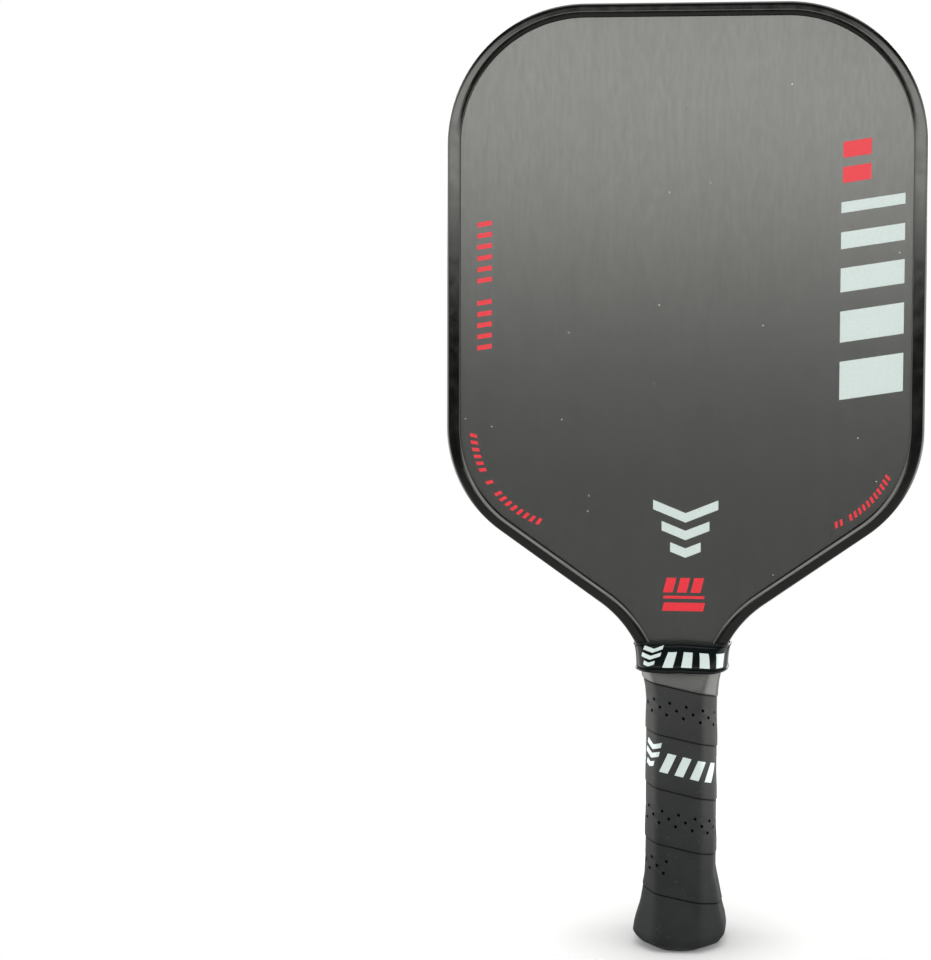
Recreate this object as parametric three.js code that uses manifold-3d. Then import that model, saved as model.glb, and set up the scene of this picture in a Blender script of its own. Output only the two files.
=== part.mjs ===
// Pickleball paddle: a carbon-faced honeycomb panel with a rubber edge guard, foam
// handle pallets, a flared butt cap, a wrapped grip and a rubber collar.
// Millimetres. The paddle stands on its butt cap: +Z runs up the handle to the top of
// the head, the front face looks towards -Y, and the origin is the centre of the butt's end.
import * as THREE from "three";
import { mergeVertices } from "three/addons/utils/BufferGeometryUtils.js";
import Module from "manifold-3d";

const wasm = await Module();
wasm.setup();

// Outline of the head, measured over the edge guard
const LENGTH = 400;
const HEAD_WIDTH = 203.2;
const TOP_CORNER_RADIUS = 59;
const SIDE_END_Z = 221.5; // the straight sides turn into the lower corners here
const LOWER_CORNER_RADIUS = 54.2;
const SHOULDER_SLOPE = THREE.MathUtils.degToRad(34.9); // below the horizontal
const THROAT_RADIUS = 48.3;
const NECK_HALF_WIDTH = 14.2; // where the throat's arc becomes parallel to the handle
const CORNER_STEPS = 12;

// Panel: skin, bond film, core, bond film, skin
const PANEL_THICKNESS = 14;
const SKIN_THICKNESS = 0.8;
const FILM_THICKNESS = 0.25;
const PANEL_INSET = 1.5; // from the guard's outline to the panel's edge
const SLAB_BORDER = 4.6;
const FOAM_WIDTH = 6;
const LAYER_GAP = 0.15; // between flat layers
const FIT_GAP = 0.3; // between pieces that nest

// Edge guard: a U channel, and the tape between its web and the panel's edge
const GUARD_WEB = 0.9;
const GUARD_LIP_WIDTH = 6; // from the outline inwards, as seen from the front
const GUARD_CREST = 1.2; // the lip's highest line above the panel's face
const GUARD_END_Z = 125.5; // hidden under the collar
const EDGE_TAPE_THICKNESS = 0.3;
const EDGE_TAPE_WIDTH = 12;

// Handle: the grip's octagon is 108 mm round, and the pieces inside it follow from it
const GRIP_HALF_WIDTH = 15;
const GRIP_HALF_DEPTH = 14.9;
const GRIP_CHAMFER = 5.2;
const GRIP_THICKNESS = 1.8;
const HANDLE_BOTTOM_Z = 3.6;
const PALLET_RAMP_Z = 109; // the pallets thin out from here upwards
const PALLET_TOP_Z = 124.6;
const PALLET_TOP_Y = 8.9;

// Butt cap, its disc and the staples
const CAP_FLOOR_Z = 3.1;
const CAP_RIM_Z = 27;
const DISC_RADIUS = 11;
const DISC_THICKNESS = 0.9;
const STAPLE_CROWN = 6.5;
const STAPLE_WIRE = 0.7;
const CAP_STAPLE = { x: 4.8, z: 18, leg: 5.2, crownY: 14.6 };
const GRIP_STAPLE = { x: 0, z: 9, leg: 3.2, crownY: 16.9 };

// Finishing tape and collar
const FINISH_TAPE_Z = [119.8, 124.2];
const FINISH_TAPE_THICKNESS = 0.3;
const COLLAR_FOOT_Z = 118.3;
const COLLAR_HEAD_Z = 130.2;
const COLLAR_FOOT_SADDLE = -0.25; // how far it rides up on the faces and down on the edges
const COLLAR_HEAD_SADDLE = 0.65;
const COLLAR_BEAD = 0.5; // how far each rolled bead stands out of the collar's wall

const RING_POINTS = 40; // points in one ring round the handle
const SOFT_ROUND = 2.4; // how far from its corner a ring starts to round it off
const SHARP_ROUND = 0.3;
const EDGE_STEPS = 4; // pieces that each edge of a saddle ring is cut into

// ---------------------------------------------------------------- materials

const look = (color, roughness, metalness = 0) =>
  new THREE.MeshStandardMaterial({ color, roughness, metalness });
const carbon = look(0x55565a, 0.42, 0.1);
const bondFilm = look(0xb9b29a, 0.5);
const honeycomb = look(0xe6e4dc, 0.7);
const edgeFoam = look(0xd9c9a3, 0.9);
const guardRubber = look(0x17181a, 0.4);
const edgeTape = look(0xcfcfc8, 0.6);
const palletFoam = look(0x3a3a3c, 0.9);
const capPlastic = look(0x1b1b1d, 0.5);
const steel = look(0xb8bcc0, 0.3, 1);
const gripLeather = look(0x2d2e2f, 0.7);
const finishVinyl = look(0x101011, 0.35);
const collarRubber = look(0x121314, 0.25);

// ---------------------------------------------------------------- outline of the head

// Points along a circle between two angles. The outward normal points to the centre
// where the outline is hollow.
function arc(centre, radius, from, to, hollow = false) {
  const side = hollow ? -1 : 1;
  const points = [];
  for (let i = 0; i <= CORNER_STEPS; i++) {
    const angle = from + ((to - from) * i) / CORNER_STEPS;
    const cos = Math.cos(angle);
    const sin = Math.sin(angle);
    points.push({
      x: centre.x + radius * cos,
      z: centre.z + radius * sin,
      nx: side * cos,
      nz: side * sin,
    });
  }
  return points;
}

const halfWidth = HEAD_WIDTH / 2;
const shoulderTurn = Math.PI / 2 - SHOULDER_SLOPE;
const topCentre = { x: halfWidth - TOP_CORNER_RADIUS, z: LENGTH - TOP_CORNER_RADIUS };
const lowerCentre = { x: halfWidth - LOWER_CORNER_RADIUS, z: SIDE_END_Z };

// The straight shoulder leaves the lower corner and meets the throat's hollow arc, which
// is tangent to the handle at its lower end.
const shoulderTop = {
  x: lowerCentre.x + LOWER_CORNER_RADIUS * Math.cos(shoulderTurn),
  z: lowerCentre.z - LOWER_CORNER_RADIUS * Math.sin(shoulderTurn),
};
const throatX = NECK_HALF_WIDTH + THROAT_RADIUS;
const shoulderFootX = throatX - THROAT_RADIUS * Math.cos(shoulderTurn);
const shoulderFootZ = shoulderTop.z - (shoulderTop.x - shoulderFootX) * Math.tan(SHOULDER_SLOPE);
const throatCentre = {
  x: throatX,
  z: shoulderFootZ - THROAT_RADIUS * Math.sin(shoulderTurn),
};

// The right half of the outline, from the top down to a height in the throat.
function halfOutline(endZ) {
  const endTurn = Math.asin((endZ - throatCentre.z) / THROAT_RADIUS);
  return [
    ...arc(topCentre, TOP_CORNER_RADIUS, Math.PI / 2, 0),
    ...arc(lowerCentre, LOWER_CORNER_RADIUS, 0, -shoulderTurn),
    ...arc(throatCentre, THROAT_RADIUS, Math.PI - shoulderTurn, Math.PI - endTurn, true),
  ];
}

const offset = (p, inwards) => ({ x: p.x - p.nx * inwards, z: p.z - p.nz * inwards });

// The right half of a panel layer's outline, moved inwards, down to the handle's foot.
function panelHalf(inwards, bottomZ) {
  const half = halfOutline(throatCentre.z).map((p) => offset(p, inwards));
  return [...half, { x: half[half.length - 1].x, z: bottomZ }];
}

// The panel's half width at a height below the shoulders.
function neckHalfWidth(z, inwards) {
  if (z <= throatCentre.z) return NECK_HALF_WIDTH - inwards;
  const radius = THROAT_RADIUS + inwards;
  return throatCentre.x - Math.sqrt(radius ** 2 - (z - throatCentre.z) ** 2);
}

// ---------------------------------------------------------------- making solids

// Six times the signed volume: negative when the faces point inwards.
function signedVolume(positions, index) {
  const corner = (i) => new THREE.Vector3().fromArray(positions, 3 * index[i]);
  let sum = 0;
  for (let i = 0; i < index.length; i += 3) {
    sum += corner(i).dot(corner(i + 1).cross(corner(i + 2)));
  }
  return sum;
}

// Joins rings that have the same number of points, in order. A closed run of rings makes
// a sleeve, and an open run is capped at both ends with the triangles of its own outline.
function loft(rings, closed) {
  const count = rings[0].length;
  const positions = rings.flat().flatMap((p) => p.toArray());
  const index = [];
  const spans = closed ? rings.length : rings.length - 1;
  for (let r = 0; r < spans; r++) {
    const here = r * count;
    const there = ((r + 1) % rings.length) * count;
    for (let i = 0; i < count; i++) {
      const j = (i + 1) % count;
      index.push(here + i, here + j, there + j);
      index.push(here + i, there + j, there + i);
    }
  }
  if (!closed) {
    const lastStart = (rings.length - 1) * count;
    capTriangles(rings[0]).forEach(([a, b, c]) => index.push(a, c, b));
    capTriangles(rings[rings.length - 1]).forEach((t) => index.push(...t.map((i) => i + lastStart)));
  }
  if (signedVolume(positions, index) < 0) index.reverse();
  const geometry = new THREE.BufferGeometry();
  geometry.setAttribute("position", new THREE.Float32BufferAttribute(positions, 3));
  geometry.setIndex(index);
  return geometry;
}

// Triangles that fill one flat ring, wound the way the ring runs.
function capTriangles(ring) {
  const origin = ring[0];
  const across = ring[1].clone().sub(origin).normalize();
  const area = new THREE.Vector3();
  ring.forEach((p, i) => {
    const q = ring[(i + 1) % ring.length];
    area.add(p.clone().sub(origin).cross(q.clone().sub(origin)));
  });
  const up = area.normalize().cross(across);
  const flat = ring.map((p) => {
    const d = p.clone().sub(origin);
    return new THREE.Vector2(d.dot(across), d.dot(up));
  });
  return THREE.ShapeUtils.triangulateShape(flat, []);
}

// A flat piece between two values of Y, symmetric about X = 0, as rows down its outline.
// Each row has points a little inside its edges, so that the middle of the face stays
// clear of the guard's lips.
function slab(half, yFrom, yTo) {
  const rows = half.map(({ x, z }) => {
    const inner = x - SLAB_BORDER;
    const across = [-x, -inner, inner, x];
    const front = across.map((u) => new THREE.Vector3(u, yFrom, z));
    const back = across.map((u) => new THREE.Vector3(u, yTo, z)).reverse();
    return [...front, ...back];
  });
  return loft(rows, false);
}

// ---------------------------------------------------------------- rings round the handle

// One ring: an octagon with rounded corners. A saddle lifts the ring on the front and
// back faces and lowers it at the sides, so it needs points along its edges too.
function octagonRing({ z, x: halfX, y: halfY, chamfer, saddle = 0, sharp = false }) {
  const round = sharp ? SHARP_ROUND : Math.min(chamfer / 2, SOFT_ROUND);
  const corners = [
    [halfX, -halfY + chamfer],
    [halfX, halfY - chamfer],
    [halfX - chamfer, halfY],
    [-halfX + chamfer, halfY],
    [-halfX, halfY - chamfer],
    [-halfX, -halfY + chamfer],
    [-halfX + chamfer, -halfY],
    [halfX - chamfer, -halfY],
  ].map(([x, y]) => new THREE.Vector2(x, y));
  const perCorner = RING_POINTS / corners.length;
  const ring = [];
  corners.forEach((corner, i) => {
    const before = corners[(i + corners.length - 1) % corners.length];
    const after = corners[(i + 1) % corners.length];
    const start = before.clone().sub(corner).setLength(round).add(corner);
    const end = after.clone().sub(corner).setLength(round).add(corner);
    const bend = new THREE.QuadraticBezierCurve(start, corner, end);
    const points = bend.getPoints(perCorner - 1);
    if (saddle) {
      const nextStart = corner.clone().sub(after).setLength(round).add(after);
      points.push(...new THREE.LineCurve(end, nextStart).getPoints(EDGE_STEPS).slice(1, -1));
    }
    points.forEach((p) => {
      const lift = saddle * ((p.y / halfY) ** 2 - (p.x / halfX) ** 2);
      ring.push(new THREE.Vector3(p.x, p.y, z + lift));
    });
  });
  return ring;
}

// The same ring with every face moved outwards.
const grow = (ring, distance) => ({
  ...ring,
  x: ring.x + distance,
  y: ring.y + distance,
  chamfer: ring.chamfer + distance * (2 - Math.SQRT2),
});

const at = (z, x, y, chamfer, saddle = 0) => ({ z, x, y, chamfer, saddle });
const sharpAt = (z, x, y, chamfer) => ({ ...at(z, x, y, chamfer), sharp: true });

// A sleeve between outer and inner rings, both listed from the bottom up.
const sleeve = (outer, inner) =>
  loft([...outer, ...[...inner].reverse()].map(octagonRing), true);

// ---------------------------------------------------------------- booleans

function toSolid(geometry) {
  const bare = geometry.clone();
  bare.deleteAttribute("normal");
  bare.deleteAttribute("uv");
  const merged = mergeVertices(bare, 1e-4);
  return new wasm.Manifold(
    new wasm.Mesh({
      numProp: 3,
      vertProperties: new Float32Array(merged.attributes.position.array),
      triVerts: new Uint32Array(merged.index.array),
    }),
  );
}

function toGeometry(solid) {
  const mesh = solid.getMesh();
  const geometry = new THREE.BufferGeometry();
  geometry.setAttribute("position", new THREE.BufferAttribute(mesh.vertProperties, 3));
  geometry.setIndex(new THREE.BufferAttribute(mesh.triVerts, 1));
  return geometry;
}

function cutAll(geometry, cutters) {
  const left = cutters.reduce((rest, cutter) => rest.subtract(toSolid(cutter)), toSolid(geometry));
  return toGeometry(left);
}

// ---------------------------------------------------------------- the paddle

const paddle = new THREE.Group();

function add(name, geometry, material) {
  if (!geometry.attributes.normal) geometry.computeVertexNormals();
  const mesh = new THREE.Mesh(geometry, material);
  mesh.name = name;
  paddle.add(mesh);
}

const SIDES = [
  { name: "front", sign: -1 },
  { name: "back", sign: 1 },
];

// ---------------------------------------------------------------- panel

const faceY = PANEL_THICKNESS / 2;
const filmY = faceY - SKIN_THICKNESS - LAYER_GAP;
const coreY = filmY - FILM_THICKNESS - LAYER_GAP;
const panelEdge = panelHalf(PANEL_INSET, HANDLE_BOTTOM_Z);

function layer(sign, outerY, thickness) {
  const low = sign > 0 ? outerY - thickness : -outerY;
  return slab(panelEdge, low, low + thickness);
}

for (const { name, sign } of SIDES) {
  add(`${name}_face_sheet`, layer(sign, faceY, SKIN_THICKNESS), carbon);
  add(`${name}_bond_film`, layer(sign, filmY, FILM_THICKNESS), bondFilm);
}

const coreInset = PANEL_INSET + FOAM_WIDTH;
const coreEdge = panelHalf(coreInset + FIT_GAP, HANDLE_BOTTOM_Z);
add("honeycomb_core", slab(coreEdge, -coreY, coreY), honeycomb);

// The foam runs round the core and down both sides of the handle.
const foamBlank = slab(panelEdge, -coreY, coreY);
const coreRoom = slab(panelHalf(coreInset, HANDLE_BOTTOM_Z - 1), -faceY, faceY);
add("perimeter_foam", cutAll(foamBlank, [coreRoom]), edgeFoam);

// ---------------------------------------------------------------- edge guard

// Carries a profile of [inwards, y] points along the rim, from throat to throat.
function alongRim(profile) {
  const right = halfOutline(GUARD_END_Z);
  const left = right.map((p) => ({ ...p, x: -p.x, nx: -p.nx })).reverse();
  const rings = [...left, ...right].map((p) =>
    profile.map(([inwards, y]) => {
      const place = offset(p, inwards);
      return new THREE.Vector3(place.x, y, place.z);
    }),
  );
  return loft(rings, false);
}

const mirrored = (half) => [...half, ...half.map(([inwards, y]) => [inwards, -y]).reverse()];

// Half of the U section: up the outside of the web, over the lip and back under it.
const lipY = faceY + LAYER_GAP;
const crestY = faceY + GUARD_CREST;
const guardSection = mirrored([
  [0, 5.6],
  [0.25, 7.2],
  [1.05, crestY - 0.25],
  [3.7, crestY],
  [5.1, crestY - 0.22],
  [5.8, crestY - 0.5],
  [GUARD_LIP_WIDTH, lipY + 0.25],
  [GUARD_LIP_WIDTH, lipY],
  [GUARD_WEB, lipY],
]);
add("edge_guard", alongRim(guardSection), guardRubber);

const tapeFrom = GUARD_WEB + LAYER_GAP;
const tapeSection = mirrored([
  [tapeFrom, EDGE_TAPE_WIDTH / 2],
  [tapeFrom + EDGE_TAPE_THICKNESS, EDGE_TAPE_WIDTH / 2],
]);
add("edge_guard_tape", alongRim(tapeSection), edgeTape);

// ---------------------------------------------------------------- staples

// A square-wire staple: a crown across X and two legs towards the handle's axis.
// A margin makes the same shape larger, as the room that it needs in other pieces.
function stapleBoxes({ x, z, leg, crownY }, sign, margin) {
  const wire = STAPLE_WIRE + 2 * margin;
  const crownDepth = wire + (margin > 0 ? 2 : 0); // the room stays open outwards
  const crownMiddle = crownY - STAPLE_WIRE - margin + crownDepth / 2;
  const legLength = leg + margin;
  const legMiddle = crownY - STAPLE_WIRE / 2 - legLength / 2;
  const crown = new THREE.BoxGeometry(STAPLE_CROWN + 2 * margin, crownDepth, wire);
  crown.translate(x, sign * crownMiddle, z);
  const legs = [-1, 1].map((end) => {
    const legX = x + (end * (STAPLE_CROWN - STAPLE_WIRE)) / 2;
    return new THREE.BoxGeometry(wire, legLength, wire).translate(legX, sign * legMiddle, z);
  });
  return [crown, ...legs];
}

function staple(place, sign) {
  const [crown, ...legs] = stapleBoxes(place, sign, 0).map(toSolid);
  return toGeometry(legs.reduce((whole, leg) => whole.add(leg), crown));
}

const stapleRoom = (place, sign) => stapleBoxes(place, sign, FIT_GAP);

const capStaples = SIDES.flatMap(({ name, sign }) => [
  { name: `butt_cap_staple_${name}_left`, sign, place: { ...CAP_STAPLE, x: -CAP_STAPLE.x } },
  { name: `butt_cap_staple_${name}_right`, sign, place: CAP_STAPLE },
]);
for (const { name, sign, place } of capStaples) add(name, staple(place, sign), steel);
add("grip_start_staple", staple(GRIP_STAPLE, 1), steel);

// ---------------------------------------------------------------- handle pallets

const palletX = NECK_HALF_WIDTH - PANEL_INSET;
const palletY = GRIP_HALF_DEPTH - GRIP_THICKNESS - FIT_GAP;
const palletChamfer = GRIP_CHAMFER - (GRIP_THICKNESS + FIT_GAP) * (2 - Math.SQRT2);

// How far a pallet stands out at a height.
function palletHeight(z) {
  const share = Math.max(0, (z - PALLET_RAMP_Z) / (PALLET_TOP_Z - PALLET_RAMP_Z));
  return THREE.MathUtils.lerp(palletY, PALLET_TOP_Y, share ** 1.2);
}

function palletRing(z, sign) {
  const width = neckHalfWidth(z, PANEL_INSET);
  const base = faceY + LAYER_GAP;
  const height = palletHeight(z);
  const chamfer = Math.min(palletChamfer, (height - base) * 0.7);
  const right = [
    [width, base],
    [width, height - chamfer],
    [width - chamfer, height],
  ];
  const left = right.map(([x, y]) => [-x, y]).reverse();
  return [...right, ...left].map(([x, y]) => new THREE.Vector3(x, sign * y, z));
}

const RAMP_STEPS = 6;
const palletHeights = [HANDLE_BOTTOM_Z];
for (let i = 0; i <= RAMP_STEPS; i++) {
  palletHeights.push(THREE.MathUtils.lerp(PALLET_RAMP_Z, PALLET_TOP_Z, i / RAMP_STEPS));
}
for (const { name, sign } of SIDES) {
  const blank = loft(
    palletHeights.map((z) => palletRing(z, sign)),
    false,
  );
  const rooms = capStaples.filter((s) => s.sign === sign).flatMap((s) => stapleRoom(s.place, sign));
  add(`${name}_handle_pallet`, cutAll(blank, rooms), palletFoam);
}

// ---------------------------------------------------------------- butt cap and disc

// The flare over the butt cap. The depth follows the width, and the corners get rounder
// towards the end.
const FLARE = [
  { z: 3.2, x: 17.3, chamfer: 8.5 },
  { z: 6, x: 17.7, chamfer: 8.9 },
  { z: 10, x: 17.1, chamfer: 8.3 },
  { z: 15, x: 15.7, chamfer: 7.1 },
  { z: 20, x: 14.65, chamfer: 6.2 },
  { z: CAP_RIM_Z, x: 13.9, chamfer: 5.1 },
].map(({ z, x, chamfer }) => at(z, x, x - 0.1, chamfer));
const GRIP_SEAT_Z = 1.5; // the grip starts on a seat above the cap's end lip

const capOuter = [
  at(0, 16.2, 16.1, 7.4),
  at(0.4, 17.3, 17.2, 8.5),
  at(GRIP_SEAT_Z - 0.1, 17.9, 17.8, 9.1),
  at(GRIP_SEAT_Z, 16.6, 16.5, 7.9),
  ...FLARE,
];
const socketX = palletX + FIT_GAP;
const socketY = palletY + FIT_GAP;
const capInner = [CAP_RIM_Z, CAP_FLOOR_Z].map((z) => sharpAt(z, socketX, socketY, palletChamfer));
const capBlank = loft([...capOuter, ...capInner].map(octagonRing), false);

const disc = (radius, depth) =>
  new THREE.CylinderGeometry(radius, radius, depth, RING_POINTS).rotateX(Math.PI / 2);
const discRoom = disc(DISC_RADIUS + FIT_GAP, 2 * (DISC_THICKNESS + LAYER_GAP));
const capRooms = [
  discRoom,
  ...capStaples.flatMap((s) => stapleRoom(s.place, s.sign)),
  ...stapleRoom(GRIP_STAPLE, 1),
];
add("butt_cap", cutAll(capBlank, capRooms), capPlastic);
add("butt_cap_disc", disc(DISC_RADIUS, DISC_THICKNESS).translate(0, 0, DISC_THICKNESS / 2), capPlastic);

// ---------------------------------------------------------------- grip wrap

const GRIP_ON_CAP = 1.75; // the strip with its backing, over the flare
const gripSeat = at(GRIP_SEAT_Z + FIT_GAP, 16.6, 16.5, 7.9);
const gripRise = [gripSeat, ...FLARE];
const gripUpper = [
  at(108, 15.3, 14.75, 5.2),
  at(112, 16, 14.2, 5.1),
  at(116, 16.9, 13.4, 4.9),
  at(118.4, 17.4, 12.8, 4.6),
  at(124.4, 18, 10.9, 3.6),
];
const gripOuter = [
  ...gripRise.map((ring) => grow(ring, FIT_GAP + GRIP_ON_CAP)),
  at(31, GRIP_HALF_WIDTH, GRIP_HALF_DEPTH, GRIP_CHAMFER),
  at(104, GRIP_HALF_WIDTH, GRIP_HALF_DEPTH, GRIP_CHAMFER),
  ...gripUpper,
];
const gripInnerAt = (z) =>
  sharpAt(z, neckHalfWidth(z, PANEL_INSET) + FIT_GAP, palletHeight(z) + FIT_GAP, 1.2);
const gripInner = [
  ...gripRise.map((ring) => grow(ring, FIT_GAP)),
  sharpAt(CAP_RIM_Z + FIT_GAP, socketX, socketY, palletChamfer),
  sharpAt(PALLET_RAMP_Z, socketX + 0.3, socketY, palletChamfer),
  gripInnerAt(118.4),
  gripInnerAt(124.4),
];
add("grip_wrap", sleeve(gripOuter, gripInner), gripLeather);

// ---------------------------------------------------------------- finishing tape

// The upper grip at a height, between its last two rings.
function gripRingAt(z) {
  const [low, high] = gripUpper.slice(-2);
  const share = (z - low.z) / (high.z - low.z);
  const mix = (key) => THREE.MathUtils.lerp(low[key], high[key], share);
  return at(z, mix("x"), mix("y"), mix("chamfer"));
}

const tapeSeat = FINISH_TAPE_Z.map(gripRingAt);
const finishTape = sleeve(
  tapeSeat.map((ring) => grow(ring, LAYER_GAP + FINISH_TAPE_THICKNESS)),
  tapeSeat.map((ring) => grow(ring, LAYER_GAP)),
);
add("finishing_tape", finishTape, finishVinyl);

// ---------------------------------------------------------------- collar

// The wall leans in from the deep grip to the flat throat, with a rolled bead at each edge.
function collarRing(z, x, y, chamfer) {
  const share = (z - COLLAR_FOOT_Z) / (COLLAR_HEAD_Z - COLLAR_FOOT_Z);
  return at(z, x, y, chamfer, THREE.MathUtils.lerp(COLLAR_FOOT_SADDLE, COLLAR_HEAD_SADDLE, share));
}

const collarInner = [
  collarRing(COLLAR_FOOT_Z, 18.4, 13.8, 5),
  collarRing(124.6, 18.8, 11.9, 3.6),
  collarRing(COLLAR_HEAD_Z, 20.2, 8.75, 1.5),
];
const collarWall = [
  collarRing(COLLAR_FOOT_Z, 19.25, 14.7, 5.4),
  collarRing(121, 19.45, 14.3, 5),
  collarRing(124.6, 19.7, 13, 4.3),
  collarRing(128, 20.25, 11.2, 3.4),
  collarRing(COLLAR_HEAD_Z, 20.7, 9.9, 2.6),
];
const bead = (ring, z) => ({ ...grow(ring, COLLAR_BEAD), z });
const [wallFoot, , , , wallHead] = collarWall;
const collarOuter = [
  wallFoot,
  bead(wallFoot, 118.6),
  bead(wallFoot, 119.3),
  { ...collarWall[1], z: 119.9 },
  ...collarWall.slice(1, 4),
  { ...collarWall[3], z: 128.5 },
  bead(wallHead, 129.1),
  bead(wallHead, 129.9),
  wallHead,
];
add("collar_band", sleeve(collarOuter, collarInner), collarRubber);

export default paddle;
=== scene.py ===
"""Looks of a pickleball paddle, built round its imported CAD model.

Lengths are millimetres, and MM turns them into metres when a mesh is made. +Z runs up the
handle to the top of the head, the front face looks towards -Y, and the origin is the
middle of the butt's end.
"""

import math

import bmesh
import bpy
import numpy as np
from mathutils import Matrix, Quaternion, Vector


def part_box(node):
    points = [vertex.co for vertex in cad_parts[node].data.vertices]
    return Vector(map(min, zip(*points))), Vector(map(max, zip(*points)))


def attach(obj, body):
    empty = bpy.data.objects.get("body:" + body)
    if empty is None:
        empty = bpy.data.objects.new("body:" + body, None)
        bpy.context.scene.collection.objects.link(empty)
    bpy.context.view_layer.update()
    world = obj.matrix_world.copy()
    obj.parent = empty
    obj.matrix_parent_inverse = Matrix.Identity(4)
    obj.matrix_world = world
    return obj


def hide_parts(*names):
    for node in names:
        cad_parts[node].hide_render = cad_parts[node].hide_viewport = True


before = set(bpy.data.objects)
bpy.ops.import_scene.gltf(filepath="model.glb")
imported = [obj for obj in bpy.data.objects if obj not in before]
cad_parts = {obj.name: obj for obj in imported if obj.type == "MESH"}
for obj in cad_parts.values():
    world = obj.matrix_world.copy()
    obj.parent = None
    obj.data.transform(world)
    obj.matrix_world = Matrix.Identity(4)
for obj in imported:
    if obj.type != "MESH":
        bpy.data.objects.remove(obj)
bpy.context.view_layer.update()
scene = bpy.context.scene
MM = 0.001

# ---------------------------------------------------------------- camera

AIM = Vector((1.84, 0, 200.6))
CAMERA_DISTANCE = 650
CAMERA_AZIMUTH = math.radians(4.27)
CAMERA_ELEVATION = math.radians(2.53)
CAMERA_ROLL = math.radians(0.45)
CAMERA_LENS = 56.81
CAMERA_SHIFT = (-0.2318, -0.0031)


def direction(azimuth, elevation):
    """From the paddle towards a place seen at these angles. Azimuth 0 is straight in front."""
    level = math.cos(elevation)
    return Vector((math.sin(azimuth) * level, -math.cos(azimuth) * level, math.sin(elevation)))


def make_camera():
    data = bpy.data.cameras.new("camera")
    data.lens = CAMERA_LENS
    data.shift_x, data.shift_y = CAMERA_SHIFT
    data.clip_start = 0.01
    camera = bpy.data.objects.new("camera", data)
    away = direction(CAMERA_AZIMUTH, CAMERA_ELEVATION)
    camera.location = (AIM + away * CAMERA_DISTANCE) * MM
    level = (-away).to_track_quat("-Z", "Y")
    camera.rotation_euler = (level @ Quaternion((0, 0, 1), CAMERA_ROLL)).to_euler()
    scene.collection.objects.link(camera)
    scene.camera = camera


make_camera()

# ---------------------------------------------------------------- node helpers


class Nodes:
    """Short calls that add nodes to one material. Positions are in millimetres."""

    def __init__(self, name, **values):
        self.material = bpy.data.materials.new(name)
        self.material.use_nodes = True
        self.tree = self.material.node_tree
        self.shader = self.tree.nodes["Principled BSDF"]
        for key, value in values.items():
            self.shader.inputs[key.replace("_", " ")].default_value = value

    def node(self, kind, inputs=(), **settings):
        made = self.tree.nodes.new(kind)
        for key, value in settings.items():
            setattr(made, key, value)
        for key, value in dict(inputs).items():
            if isinstance(value, bpy.types.NodeSocket):
                self.tree.links.new(value, made.inputs[key])
            else:
                made.inputs[key].default_value = value
        return made

    def position(self, stretch=(1, 1, 1)):
        """The point on the object, in millimetres, with each axis multiplied by stretch."""
        here = self.node("ShaderNodeTexCoord").outputs["Object"]
        scale = tuple(s / MM for s in stretch)
        return self.node("ShaderNodeMapping", {"Vector": here, "Scale": scale}).outputs[0]

    def noise(self, size, detail=3.0, stretch=(1, 1, 1)):
        """A noise from 0 to 1 whose blots are about size millimetres across."""
        inputs = {"Vector": self.position(stretch), "Scale": 1 / size, "Detail": detail}
        return self.node("ShaderNodeTexNoise", inputs).outputs["Fac"]

    def cells(self, size):
        """Cells about size millimetres across."""
        inputs = {"Vector": self.position(), "Scale": 1 / size}
        return self.node("ShaderNodeTexVoronoi", inputs).outputs["Distance"]

    def attribute(self, name):
        return self.node("ShaderNodeAttribute", attribute_name=name).outputs["Fac"]

    def math(self, operation, first, second=0.0):
        made = self.node("ShaderNodeMath", {0: first, 1: second}, operation=operation)
        return made.outputs[0]

    def fit(self, value, low, high, to_low=0.0, to_high=1.0):
        inputs = {
            "Value": value,
            "From Min": low,
            "From Max": high,
            "To Min": to_low,
            "To Max": to_high,
        }
        return self.node("ShaderNodeMapRange", inputs).outputs["Result"]

    def blend(self, factor, first, second):
        inputs = {0: factor, 6: (*first, 1) if isinstance(first, tuple) else first}
        inputs[7] = (*second, 1) if isinstance(second, tuple) else second
        return self.node("ShaderNodeMix", inputs, data_type="RGBA").outputs[2]

    def color(self, socket):
        self.tree.links.new(socket, self.shader.inputs["Base Color"])

    def specular(self, socket):
        self.tree.links.new(socket, self.shader.inputs["Specular IOR Level"])

    def roughness(self, socket):
        self.tree.links.new(socket, self.shader.inputs["Roughness"])

    def bump(self, *layers):
        """Each layer is a height from 0 to 1 and the depth in millimetres that it stands for."""
        normal = None
        for height, depth in layers:
            inputs = {"Height": height, "Distance": depth * MM}
            if normal is not None:
                inputs["Normal"] = normal
            normal = self.node("ShaderNodeBump", inputs).outputs["Normal"]
        self.tree.links.new(normal, self.shader.inputs["Normal"])


# ---------------------------------------------------------------- materials


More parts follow.
